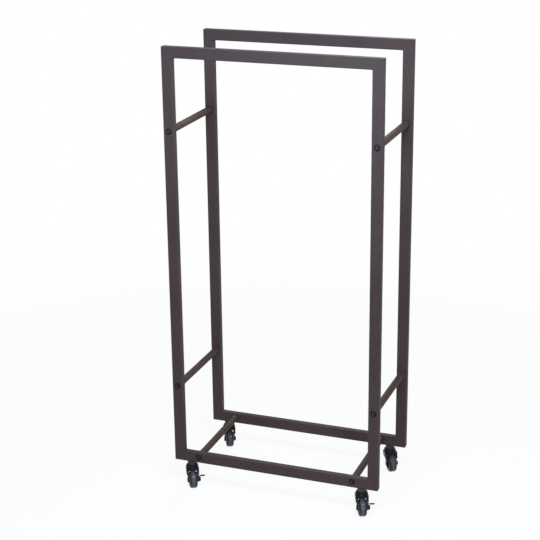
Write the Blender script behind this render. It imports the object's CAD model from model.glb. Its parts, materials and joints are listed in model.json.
"""Looks of the log carrier: an upright firewood rack of welded tube on four small swivel castors."""

import json
import math

import bmesh
import bpy
from mathutils import Matrix, Vector, noise as random_field


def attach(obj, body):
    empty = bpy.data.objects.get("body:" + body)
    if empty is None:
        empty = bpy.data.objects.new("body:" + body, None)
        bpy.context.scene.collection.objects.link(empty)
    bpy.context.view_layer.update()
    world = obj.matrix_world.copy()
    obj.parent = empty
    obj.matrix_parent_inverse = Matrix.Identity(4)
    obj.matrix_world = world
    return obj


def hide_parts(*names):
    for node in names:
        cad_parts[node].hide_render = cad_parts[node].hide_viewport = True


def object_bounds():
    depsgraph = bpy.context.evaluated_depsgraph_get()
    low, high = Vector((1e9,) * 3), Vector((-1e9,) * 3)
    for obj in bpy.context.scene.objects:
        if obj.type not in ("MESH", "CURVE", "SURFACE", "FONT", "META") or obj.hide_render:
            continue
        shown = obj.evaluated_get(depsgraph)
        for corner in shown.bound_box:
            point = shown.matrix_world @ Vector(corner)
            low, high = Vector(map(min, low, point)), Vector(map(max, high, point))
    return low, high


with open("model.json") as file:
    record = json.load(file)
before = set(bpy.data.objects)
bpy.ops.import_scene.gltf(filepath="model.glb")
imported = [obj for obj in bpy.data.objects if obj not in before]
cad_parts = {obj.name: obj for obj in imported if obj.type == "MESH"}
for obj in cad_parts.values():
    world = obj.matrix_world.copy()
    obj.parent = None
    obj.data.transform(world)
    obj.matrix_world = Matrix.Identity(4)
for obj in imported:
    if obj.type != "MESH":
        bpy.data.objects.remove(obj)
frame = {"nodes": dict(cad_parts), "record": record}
cad_box = [list(corner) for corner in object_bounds()]
nodes = frame["nodes"]
record = frame["record"]

# Camera, solved from the photograph's perspective: place across, in front of and above the frames' top,
# and the directions of its picture
CAMERA_PLACE = (1.03699, -2.89531, 0.53368)
CAMERA_RIGHT = (0.93737620, 0.34814259, -0.01107244)
CAMERA_DOWN = (0.10328428, -0.30817119, -0.94570761)
CAMERA_FORWARD = (-0.33265330, 0.88534019, -0.32482999)
LENS_MM = 94.58
SENSOR_MM = 36.0

# Sizes from the part, in metres
FRAME_W = 0.500
FRAME_D = 0.250
FRAME_H = 0.985
TUBE_FACE = 0.025
TUBE_DEPTH = 0.015
TUBE_CORNER = 0.0015
WELD_LEG = 0.0025
COLLAR_R = 0.010
COLLAR_WELD = 0.0015
CASTOR_IN = 0.040
FRAME_TOP = cad_box[1][2]
FRAME_LOW = FRAME_TOP - FRAME_H

# How far the middle of a frame's depth and a castor's axis lie from the middle of the rack
RAIL_Y = FRAME_D / 2 - TUBE_DEPTH / 2
CASTOR_X = FRAME_W / 2 - CASTOR_IN

CASTORS = ("front_left", "front_right", "rear_left", "rear_right")
BRAKED = ("front_left", "front_right")

# The middle of a noise's values, where nearly all of them lie
NOISE_LOW = 0.3
NOISE_HIGH = 0.7

# Specular levels of the finishes
COAT_SHINE = 0.08
ENAMEL_SHINE = 0.14
OXIDE_SHINE = 0.05
RUBBER_SHINE = 0.2

# Worn edges of the enamel: their width and how far they are worn
WORN_EDGE = 0.0005
WORN_SHARE = 0.5

# How far the walls of a screw's socket count as closed in
SOCKET_REACH = 0.004

# Scuffed band round the middle of each tread: full to the first distance, gone at the second
BAND_FULL = 0.0015
BAND_END = 0.0074

# Points of a mesh that lie closer than this are one point
SAME_POINT = 0.000002

# Rounding of hard edges: on cut steel, on pressed steel and on the turned collars, in how many steps,
# from what angle in degrees, and how far a large face rules the shading beside it
CUT_EDGE = 0.0002
PRESSED_EDGE = 0.0003
TURNED_EDGE = 0.0005
EDGE_STEPS = 2
EDGE_ANGLE = 32.0
FACE_WEIGHT = 60

# Ripples of the welds: how far they wander, as a share of their pitch, and how quickly along the weld,
# how far a crescent bulges, as a share of the pitch, the height between two ripples, as a share of the
# crests', and the power that rounds the crests
RIPPLE_WANDER = 0.25
RIPPLE_RATE = 300.0
RIPPLE_BULGE = 0.55
RIPPLE_LOW = 0.35
RIPPLE_ROUND = 0.7

# World and floor: light from all round, the floor's grey, and its share of plain white
WORLD_LIGHT = 0.18
FLOOR_GREY = 0.96
FLOOR_WHITE = 0.92

# Floor: how far the plain surface goes before it fades out, where it is gone, and its margin
FLOOR_PLAIN = 0.9
FLOOR_END = 1.9
FLOOR_MARGIN = 0.1

WHITE = (1.0, 1.0, 1.0, 1.0)


def add_camera():
    data = bpy.data.cameras.new("camera")
    data.sensor_fit = "HORIZONTAL"
    data.sensor_width = SENSOR_MM
    data.lens = LENS_MM
    data.clip_start = 0.05
    data.clip_end = 60.0
    data.dof.use_dof = False
    camera = bpy.data.objects.new("camera", data)
    bpy.context.scene.collection.objects.link(camera)
    columns = (
        Vector(CAMERA_RIGHT).normalized(),
        -Vector(CAMERA_DOWN).normalized(),
        -Vector(CAMERA_FORWARD).normalized(),
    )
    turn = Matrix(columns).transposed().to_4x4()
    place = Vector(CAMERA_PLACE) + Vector((0.0, 0.0, FRAME_TOP))
    camera.matrix_world = Matrix.Translation(place) @ turn
    bpy.context.scene.camera = camera


def add_lamp(name, place, target, size, power, colour, spread_angle=180.0):
    """Rectangular lamp at a place, turned to its target; a smaller spread angle narrows its beam."""
    data = bpy.data.lights.new(name, "AREA")
    data.spread = math.radians(spread_angle)
    data.shape = "RECTANGLE"
    data.size, data.size_y = size
    data.energy = power
    data.color = colour
    lamp = bpy.data.objects.new(name, data)
    bpy.context.scene.collection.objects.link(lamp)
    aim = Vector(target) - Vector(place)
    lamp.matrix_world = Matrix.Translation(place) @ aim.to_track_quat("-Z", "Y").to_matrix().to_4x4()


def add_lamps():
    """Soft lamps, cool above and warm low down, as the photograph's light is."""
    add_lamp(
        "top", place=(0.35, -0.85, 1.7), target=(0.0, -0.1, 1.04), size=(0.8, 0.3),
        power=26.5, colour=(0.51, 0.76, 1.0),
    )
    add_lamp(
        "key", place=(0.8, -1.2, 1.95), target=(0.1, 0.0, 1.1), size=(0.7, 0.7),
        power=3.0, colour=(0.70, 0.88, 1.0), spread_angle=110.0,
    )
    add_lamp(
        "overhead", place=(-0.3, 0.2, 2.3), target=(0.0, 0.0, 0.7), size=(1.4, 1.0),
        power=4.0, colour=(1.0, 0.90, 0.82),
    )
    add_lamp(
        "side", place=(-0.9, -2.3, 1.3), target=(0.0, 0.0, 1.0), size=(1.0, 0.7),
        power=2.0, colour=(0.80, 0.90, 1.0), spread_angle=110.0,
    )
    add_lamp(
        "right", place=(0.95, -1.1, 0.85), target=(0.25, -0.12, 0.6), size=(0.5, 0.7),
        power=2.2, colour=(1.0, 0.72, 0.66),
    )
    add_lamp(
        "front", place=(1.35, -2.2, 0.6), target=(0.0, 0.0, 0.25), size=(0.15, 1.1),
        power=8.5, colour=(1.0, 0.71, 0.67),
    )
    add_lamp(
        "rear", place=(0.0, 2.9, 1.9), target=(0.0, 0.0, 0.6), size=(1.4, 0.9),
        power=24.0, colour=(1.0, 0.96, 0.94),
    )


def seen_directly(tree):
    """1 for what the camera, a reflection or glass sees, 0 for light that only falls on the object."""
    light_path = tree.nodes.new("ShaderNodeLightPath")
    value = light_path.outputs["Is Camera Ray"]
    for name in ("Is Glossy Ray", "Is Transmission Ray"):
        either = tree.nodes.new("ShaderNodeMath")
        either.operation = "MAXIMUM"
        tree.links.new(value, either.inputs[0])
        tree.links.new(light_path.outputs[name], either.inputs[1])
        value = either.outputs[0]
    return value


def mixed(tree, factor, first, second):
    """Mixes two shaders: the first where the factor is 0, the second where it is 1."""
    mix = tree.nodes.new("ShaderNodeMixShader")
    tree.links.new(factor, mix.inputs[0])
    tree.links.new(first, mix.inputs[1])
    tree.links.new(second, mix.inputs[2])
    return mix.outputs[0]


def add_world():
    """Even light from all round, with a white background for what sees it directly."""
    world = bpy.data.worlds.new("studio")
    bpy.context.scene.world = world
    world.use_nodes = True
    tree = world.node_tree
    tree.nodes.clear()
    lit = tree.nodes.new("ShaderNodeBackground")
    lit.inputs["Color"].default_value = WHITE
    lit.inputs["Strength"].default_value = WORLD_LIGHT
    white = tree.nodes.new("ShaderNodeBackground")
    white.inputs["Color"].default_value = WHITE
    white.inputs["Strength"].default_value = 1.0
    out = tree.nodes.new("ShaderNodeOutputWorld")
    shader = mixed(tree, seen_directly(tree), lit.outputs[0], white.outputs[0])
    tree.links.new(shader, out.inputs["Surface"])


def add_floor():
    """Pale floor: a share of plain white keeps it even, the rest takes the object's shadow."""
    half = FLOOR_END + FLOOR_MARGIN
    mesh = bpy.data.meshes.new("floor")
    corners = [(-half, -half, 0.0), (half, -half, 0.0), (half, half, 0.0), (-half, half, 0.0)]
    mesh.from_pydata(corners, [], [(0, 1, 2, 3)])
    floor = bpy.data.objects.new("floor", mesh)
    bpy.context.scene.collection.objects.link(floor)
    material = bpy.data.materials.new("pale_floor")
    material.use_nodes = True
    tree = material.node_tree
    tree.nodes.clear()
    diffuse = tree.nodes.new("ShaderNodeBsdfDiffuse")
    diffuse.inputs["Color"].default_value = (FLOOR_GREY, FLOOR_GREY, FLOOR_GREY, 1.0)
    white = tree.nodes.new("ShaderNodeEmission")
    white.inputs["Color"].default_value = WHITE
    white.inputs["Strength"].default_value = 1.0
    share = tree.nodes.new("ShaderNodeMath")
    share.operation = "MULTIPLY"
    share.inputs[1].default_value = FLOOR_WHITE
    tree.links.new(seen_directly(tree), share.inputs[0])
    surface = mixed(tree, share.outputs[0], diffuse.outputs[0], white.outputs[0])
    place = tree.nodes.new("ShaderNodeTexCoord")
    distance = tree.nodes.new("ShaderNodeVectorMath")
    distance.operation = "LENGTH"
    tree.links.new(place.outputs["Object"], distance.inputs[0])
    fade = tree.nodes.new("ShaderNodeMapRange")
    fade.interpolation_type = "SMOOTHSTEP"
    fade.inputs["From Min"].default_value = FLOOR_PLAIN
    fade.inputs["From Max"].default_value = FLOOR_END
    tree.links.new(distance.outputs["Value"], fade.inputs["Value"])
    clear = tree.nodes.new("ShaderNodeBsdfTransparent")
    out = tree.nodes.new("ShaderNodeOutputMaterial")
    tree.links.new(mixed(tree, fade.outputs["Result"], surface, clear.outputs[0]), out.inputs["Surface"])
    mesh.materials.append(material)


def new_material(name):
    """Material with its node tree, its shader and the place on the object that patterns read."""
    material = bpy.data.materials.new(name)
    material.use_nodes = True
    tree = material.node_tree
    shader = tree.nodes["Principled BSDF"]
    place = tree.nodes.new("ShaderNodeTexCoord").outputs["Object"]
    return material, tree, shader, place


def noise(tree, coordinates, scale, detail=2.0, roughness=0.5):
    texture = tree.nodes.new("ShaderNodeTexNoise")
    texture.inputs["Scale"].default_value = scale
    texture.inputs["Detail"].default_value = detail
    texture.inputs["Roughness"].default_value = roughness
    tree.links.new(coordinates, texture.inputs["Vector"])
    return texture.outputs["Fac"]


def stretched(tree, coordinates, scale):
    mapping = tree.nodes.new("ShaderNodeMapping")
    mapping.inputs["Scale"].default_value = scale
    tree.links.new(coordinates, mapping.inputs["Vector"])
    return mapping.outputs["Vector"]


def spread(tree, value, low, high, start=NOISE_LOW, end=NOISE_HIGH):
    """Maps the range start to end, as a rule the middle of a noise, to the range low to high."""
    step = tree.nodes.new("ShaderNodeMapRange")
    step.inputs["From Min"].default_value = start
    step.inputs["From Max"].default_value = end
    step.inputs["To Min"].default_value = low
    step.inputs["To Max"].default_value = high
    tree.links.new(value, step.inputs["Value"])
    return step.outputs["Result"]


def tint(tree, value, first, second):
    """Fades from the first colour to the second over the middle of a noise."""
    ramp = tree.nodes.new("ShaderNodeValToRGB")
    start, end = ramp.color_ramp.elements
    start.position = NOISE_LOW
    start.color = (*first, 1.0)
    end.position = NOISE_HIGH
    end.color = (*second, 1.0)
    tree.links.new(value, ramp.inputs["Fac"])
    return ramp.outputs["Color"]


def blended(tree, factor, first, colour):
    """The first where the factor is 0, the colour where it is 1."""
    mix = tree.nodes.new("ShaderNodeMix")
    mix.data_type = "RGBA"
    tree.links.new(factor, mix.inputs["Factor"])
    tree.links.new(first, mix.inputs["A"])
    mix.inputs["B"].default_value = (*colour, 1.0)
    return mix.outputs["Result"]


def bump(tree, height, strength, distance, below=None):
    node = tree.nodes.new("ShaderNodeBump")
    node.inputs["Strength"].default_value = strength
    node.inputs["Distance"].default_value = distance
    tree.links.new(height, node.inputs["Height"])
    if below:
        tree.links.new(below, node.inputs["Normal"])
    return node.outputs["Normal"]


def edge_mask(tree, radius, strength):
    """The strength on convex and concave edges within the radius, 0 on open faces."""
    rounded = tree.nodes.new("ShaderNodeBevel")
    rounded.samples = 4
    rounded.inputs["Radius"].default_value = radius
    geometry = tree.nodes.new("ShaderNodeNewGeometry")
    dot = tree.nodes.new("ShaderNodeVectorMath")
    dot.operation = "DOT_PRODUCT"
    tree.links.new(rounded.outputs[0], dot.inputs[0])
    tree.links.new(geometry.outputs["Normal"], dot.inputs[1])
    return spread(tree, dot.outputs["Value"], strength, 0.0, start=0.8, end=1.0)


def deep_mask(tree, reach):
    """1 deep inside a piece's own holes, 0 on its open faces."""
    openness = tree.nodes.new("ShaderNodeAmbientOcclusion")
    openness.samples = 8
    openness.only_local = True
    openness.inputs["Distance"].default_value = reach
    return spread(tree, openness.outputs["AO"], 1.0, 0.0, start=0.55, end=0.9)


def running_band(tree, place):
    """1 along the middle of a wheel's tread, 0 at its sides; each tyre brings its own axle."""
    own = []
    for name in ("wheel_centre", "axle"):
        value = tree.nodes.new("ShaderNodeAttribute")
        value.attribute_type = "OBJECT"
        value.attribute_name = name
        own.append(value.outputs["Vector"])
    offset = tree.nodes.new("ShaderNodeVectorMath")
    offset.operation = "SUBTRACT"
    tree.links.new(place, offset.inputs[0])
    tree.links.new(own[0], offset.inputs[1])
    across = tree.nodes.new("ShaderNodeVectorMath")
    across.operation = "DOT_PRODUCT"
    tree.links.new(offset.outputs["Vector"], across.inputs[0])
    tree.links.new(own[1], across.inputs[1])
    distance = tree.nodes.new("ShaderNodeMath")
    distance.operation = "ABSOLUTE"
    tree.links.new(across.outputs["Value"], distance.inputs[0])
    return spread(tree, distance.outputs[0], 1.0, 0.0, start=BAND_FULL, end=BAND_END)


def powder_coat(name, tones, gloss):
    """Satin powder coat: slow drift of tone, fine specks and a soft orange peel."""
    material, tree, shader, place = new_material(name)
    base = tint(tree, noise(tree, place, scale=7.0, detail=4.0), tones[0], tones[1])
    specks = noise(tree, place, scale=1500.0, roughness=0.7)
    speck_mask = spread(tree, specks, 0.0, 0.6, start=0.56, end=0.70)
    tree.links.new(blended(tree, speck_mask, base, tones[2]), shader.inputs["Base Color"])
    rough = spread(tree, noise(tree, place, scale=45.0, detail=5.0), *gloss)
    tree.links.new(rough, shader.inputs["Roughness"])
    shader.inputs["Specular IOR Level"].default_value = COAT_SHINE
    grain = bump(tree, noise(tree, place, scale=2200.0, detail=3.0), strength=0.35, distance=0.00008)
    peel = noise(tree, place, scale=380.0)
    orange_peel = bump(tree, peel, strength=0.4, distance=0.0002, below=grain)
    tree.links.new(orange_peel, shader.inputs["Normal"])
    return material


def black_enamel(name, tones, gloss):
    """Black electro-coat on pressed steel: glossy, with faint drawing waves and paler worn edges."""
    material, tree, shader, place = new_material(name)
    base = tint(tree, noise(tree, place, scale=120.0, detail=3.0), tones[0], tones[1])
    worn = blended(tree, edge_mask(tree, WORN_EDGE, WORN_SHARE), base, tones[2])
    tree.links.new(worn, shader.inputs["Base Color"])
    rough = spread(tree, noise(tree, place, scale=300.0, detail=4.0), *gloss)
    tree.links.new(rough, shader.inputs["Roughness"])
    shader.inputs["Specular IOR Level"].default_value = ENAMEL_SHINE
    waves = bump(tree, noise(tree, place, scale=160.0, detail=1.0), strength=0.25, distance=0.0002)
    grain = noise(tree, place, scale=1800.0)
    fine = bump(tree, grain, strength=0.12, distance=0.00004, below=waves)
    tree.links.new(fine, shader.inputs["Normal"])
    return material


def black_oxide(name, tones, gloss):
    """Black-oxide steel: near black outside, dusty grey in the depth of its sockets."""
    material, tree, shader, place = new_material(name)
    base = tint(tree, noise(tree, place, scale=300.0, detail=3.0), tones[0], tones[1])
    dusty = blended(tree, deep_mask(tree, SOCKET_REACH), base, tones[2])
    tree.links.new(dusty, shader.inputs["Base Color"])
    rough = spread(tree, noise(tree, place, scale=500.0, detail=4.0), *gloss)
    tree.links.new(rough, shader.inputs["Roughness"])
    shader.inputs["Specular IOR Level"].default_value = OXIDE_SHINE
    grain = bump(tree, noise(tree, place, scale=1500.0, detail=3.0), strength=0.15, distance=0.00004)
    tree.links.new(grain, shader.inputs["Normal"])
    return material


def rubber(name, tones, gloss):
    """Dark rubber, glossy at the sides and scuffed to a pale dusty band where it rolls."""
    material, tree, shader, place = new_material(name)
    bloom = tint(tree, noise(tree, place, scale=90.0, detail=5.0, roughness=0.6), tones[0], tones[1])
    scuffs = noise(tree, place, scale=420.0, detail=4.0, roughness=0.7)
    scuffed = spread(tree, scuffs, 0.75, 1.0, start=0.35, end=0.65)
    dust = tree.nodes.new("ShaderNodeMath")
    dust.operation = "MULTIPLY"
    tree.links.new(running_band(tree, place), dust.inputs[0])
    tree.links.new(scuffed, dust.inputs[1])
    tree.links.new(blended(tree, dust.outputs[0], bloom, tones[2]), shader.inputs["Base Color"])
    rough = spread(tree, noise(tree, place, scale=200.0, detail=4.0), *gloss)
    tree.links.new(rough, shader.inputs["Roughness"])
    shader.inputs["Specular IOR Level"].default_value = RUBBER_SHINE
    grain = noise(tree, place, scale=1600.0, detail=3.0, roughness=0.6)
    pits = bump(tree, grain, strength=0.12, distance=0.00005)
    soft = bump(tree, noise(tree, place, scale=260.0), strength=0.08, distance=0.0002, below=pits)
    tree.links.new(soft, shader.inputs["Normal"])
    return material


def moulded_plastic(name, tones, gloss):
    """Black moulded plastic with the fine spark-eroded grain of its mould."""
    material, tree, shader, place = new_material(name)
    base = tint(tree, noise(tree, place, scale=150.0, detail=3.0), tones[0], tones[1])
    tree.links.new(base, shader.inputs["Base Color"])
    rough = spread(tree, noise(tree, place, scale=500.0, detail=3.0), *gloss)
    tree.links.new(rough, shader.inputs["Roughness"])
    grain = tree.nodes.new("ShaderNodeTexVoronoi")
    grain.inputs["Scale"].default_value = 2400.0
    tree.links.new(place, grain.inputs["Vector"])
    eroded = bump(tree, grain.outputs["Distance"], strength=0.3, distance=0.00006)
    tree.links.new(eroded, shader.inputs["Normal"])
    return material


def zinc_steel(name, tones, gloss):
    """Zinc-plated steel: fine lines from turning, and a cloudy plating."""
    material, tree, shader, place = new_material(name)
    cloud = tint(tree, noise(tree, place, scale=180.0, detail=4.0), tones[0], tones[1])
    tree.links.new(cloud, shader.inputs["Base Color"])
    shader.inputs["Metallic"].default_value = 1.0
    lines = noise(tree, stretched(tree, place, (1.0, 1.0, 12.0)), scale=700.0, detail=3.0)
    tree.links.new(spread(tree, lines, *gloss), shader.inputs["Roughness"])
    tree.links.new(bump(tree, lines, strength=0.2, distance=0.00003), shader.inputs["Normal"])
    return material


def join_points(piece):
    """Joins the points that lie in one place, so that no face without an area is left."""
    weld = piece.modifiers.new("weld", "WELD")
    weld.merge_threshold = SAME_POINT


def soften(name, width):
    """Rounds a CAD piece's hard edges with modifiers, which leave its mesh as it is."""
    piece = nodes[name]
    join_points(piece)
    bevel = piece.modifiers.new("bevel", "BEVEL")
    bevel.width = width
    bevel.segments = EDGE_STEPS
    bevel.limit_method = "ANGLE"
    bevel.angle_limit = math.radians(EDGE_ANGLE)
    join_points(piece)
    normals = piece.modifiers.new("normals", "WEIGHTED_NORMAL")
    normals.weight = FACE_WEIGHT


def swept_shell(name, rings, material, body="root"):
    """Closed solid through a row of closed rings of points, capped at both ends."""
    mesh = bmesh.new()
    loops = [[mesh.verts.new(point) for point in ring] for ring in rings]
    count = len(loops[0])
    for first, second in zip(loops, loops[1:]):
        for i in range(count):
            j = (i + 1) % count
            mesh.faces.new((first[i], first[j], second[j], second[i]))
    mesh.faces.new(list(reversed(loops[0])))
    mesh.faces.new(loops[-1])
    bmesh.ops.recalc_face_normals(mesh, faces=mesh.faces)
    data = bpy.data.meshes.new(name)
    mesh.to_mesh(data)
    mesh.free()
    for face in data.polygons:
        face.use_smooth = True
    data.materials.append(material)
    piece = bpy.data.objects.new(name, data)
    bpy.context.scene.collection.objects.link(piece)
    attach(piece, body)
    return piece


def ripple(along, across, pitch, seed):
    """Height of a weld's ripples, 0 to 1: crescents that bulge the way the weld was drawn."""
    place = Vector((along * RIPPLE_RATE, across, seed))
    wander = RIPPLE_WANDER * pitch * random_field.noise(place)
    phase = (along + wander) / pitch + RIPPLE_BULGE * across * across
    crest = 0.5 + 0.5 * math.cos(2.0 * math.pi * phase)
    return RIPPLE_LOW + (1.0 - RIPPLE_LOW) * crest ** RIPPLE_ROUND


def corner_bead(name, corner, side, up, seed):
    """Rippled bead over the plain one in a frame's inner corner; side and up point into the window."""
    steps = 44
    arc = 8
    length = TUBE_DEPTH - 2.0 * TUBE_CORNER
    root = 0.0006
    height = 0.00035
    pitch = 0.00135
    rings = []
    for i in range(steps + 1):
        along = length * (i / steps - 0.5)
        taper = min(1.0, 4.0 * min(i, steps - i) / steps)
        ring = []
        for j in range(arc + 1):
            angle = 0.5 * math.pi * j / arc
            across = 2.0 * j / arc - 1.0
            rise = height * ripple(along, across, pitch, seed) * math.sin(2.0 * angle) ** 0.5 * taper
            ring.append((WELD_LEG - rise, angle))
        for j in range(arc, -1, -1):
            angle = 0.5 * math.pi * j / arc
            ring.append((WELD_LEG + root, angle))
        rings.append([
            (
                corner[0] + side * (WELD_LEG - r * math.cos(angle)),
                corner[1] + along,
                corner[2] + up * (WELD_LEG - r * math.sin(angle)),
            )
            for r, angle in ring
        ])
    return swept_shell(name, rings, MATERIALS["frame_coat"])


def add_corner_beads():
    """A bead in each inner corner of both frames; each seed gives a bead ripples of its own."""
    inside_x = FRAME_W / 2 - TUBE_FACE
    places = [
        (frame_name, side_name, level_name)
        for frame_name in ("front", "rear")
        for side_name in ("left", "right")
        for level_name in ("top", "bottom")
    ]
    for index, (frame_name, side_name, level_name) in enumerate(places):
        x = -inside_x if side_name == "left" else inside_x
        y = -RAIL_Y if frame_name == "front" else RAIL_Y
        z = FRAME_TOP - TUBE_FACE if level_name == "top" else FRAME_LOW + TUBE_FACE
        side = 1.0 if side_name == "left" else -1.0
        up = -1.0 if level_name == "top" else 1.0
        seed = 3.7 * index
        corner_bead(f"{frame_name}_{side_name}_{level_name}_bead", (x, y, z), side, up, seed)


def collar_bead(name, place, facing, seed):
    """Rippled bead round the side of a collar that faces left or right, under the bottom rail."""
    steps = 36
    arc = 6
    half_turn = math.asin((TUBE_DEPTH / 2 - TUBE_CORNER) / COLLAR_R)
    root = 0.0004
    height = 0.00032
    pitch = 0.0013
    rings = []
    for i in range(steps + 1):
        turn = half_turn * (2.0 * i / steps - 1.0)
        along = turn * COLLAR_R
        taper = min(1.0, 0.55 + 3.0 * min(i, steps - i) / steps)
        leg = COLLAR_WELD * taper
        profile = []
        for j in range(arc + 1):
            share = j / arc
            bulge = math.sin(math.pi * share)
            rise = height * bulge * ripple(along, 2.0 * share - 1.0, pitch, seed)
            out = COLLAR_R + leg * (1.0 - share) + rise * taper
            down = leg * share + rise * taper
            profile.append((out, -down))
        profile.append((COLLAR_R - root, -leg))
        profile.append((COLLAR_R - root, 0.0))
        rings.append([
            (
                place[0] + out * math.cos(turn + facing),
                place[1] + out * math.sin(turn + facing),
                FRAME_LOW + z,
            )
            for out, z in profile
        ])
    return swept_shell(name, rings, MATERIALS["frame_coat"])


def add_collar_welds():
    """Rippled beads to the left and right of each collar, in place of the plain ones."""
    pieces = []
    for index, castor in enumerate(CASTORS):
        x = CASTOR_X * (-1 if castor.endswith("left") else 1)
        y = RAIL_Y * (-1 if castor.startswith("front") else 1)
        for side_name, facing in (("left", math.pi), ("right", 0.0)):
            name = f"{castor}_collar_bead_{side_name}"
            pieces.append(collar_bead(name, (x, y), facing, index + facing))
    for piece in pieces:
        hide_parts("castor_collar_welds")


# Tones are the base's darker and paler colour and the colour of its specks, worn edges, dust or scuffs
MATERIALS = {
    "frame_coat": powder_coat(
        "frame_coat",
        tones=((0.056, 0.037, 0.036), (0.068, 0.046, 0.044), (0.092, 0.068, 0.067)),
        gloss=(0.46, 0.56),
    ),
    "rod_coat": powder_coat(
        "rod_coat",
        tones=((0.060, 0.036, 0.028), (0.071, 0.043, 0.033), (0.098, 0.068, 0.058)),
        gloss=(0.50, 0.60),
    ),
    "screw_black": black_oxide(
        "screw_black",
        tones=((0.014, 0.011, 0.011), (0.021, 0.017, 0.018), (0.125, 0.108, 0.114)),
        gloss=(0.38, 0.50),
    ),
    "castor_black": black_enamel(
        "castor_black",
        tones=((0.006, 0.005, 0.005), (0.010, 0.008, 0.008), (0.025, 0.023, 0.023)),
        gloss=(0.28, 0.40),
    ),
    "tyre_grey": rubber(
        "tyre_grey",
        tones=((0.005, 0.007, 0.008), (0.008, 0.010, 0.012), (0.086, 0.087, 0.101)),
        gloss=(0.22, 0.30),
    ),
    "hub_plastic": moulded_plastic(
        "hub_plastic",
        tones=((0.014, 0.014, 0.016), (0.020, 0.020, 0.022)),
        gloss=(0.40, 0.50),
    ),
    "bare_steel": zinc_steel(
        "bare_steel",
        tones=((0.50, 0.50, 0.51), (0.62, 0.62, 0.63)),
        gloss=(0.24, 0.36),
    ),
}

for part in record["subparts"]:
    mesh = nodes[part["node"]].data
    mesh.materials.clear()
    mesh.materials.append(MATERIALS[part["material_slot"]])

for joint in record["behaviour"]["joints"]:
    if joint["name"].endswith("_wheel_spin"):
        tyre = nodes[joint["name"].replace("_wheel_spin", "_tyre")]
        tyre["wheel_centre"] = joint["pos_m"]
        tyre["axle"] = joint["axis"]

for castor in CASTORS:
    soften(f"{castor}_fork", PRESSED_EDGE)
    soften(f"{castor}_swivel_cap", PRESSED_EDGE)
    soften(f"{castor}_axle_nut", CUT_EDGE)
    join_points(nodes[f"{castor}_swivel_balls"])
for castor in BRAKED:
    soften(f"{castor}_brake_lever", PRESSED_EDGE)
for screws in ("front_rod_screws", "rear_rod_screws"):
    soften(screws, CUT_EDGE)
soften("castor_collars", TURNED_EDGE)

add_corner_beads()
add_collar_welds()

add_camera()
add_world()
add_floor()
add_lamps()

bpy.context.scene.view_settings.view_transform = "Standard"
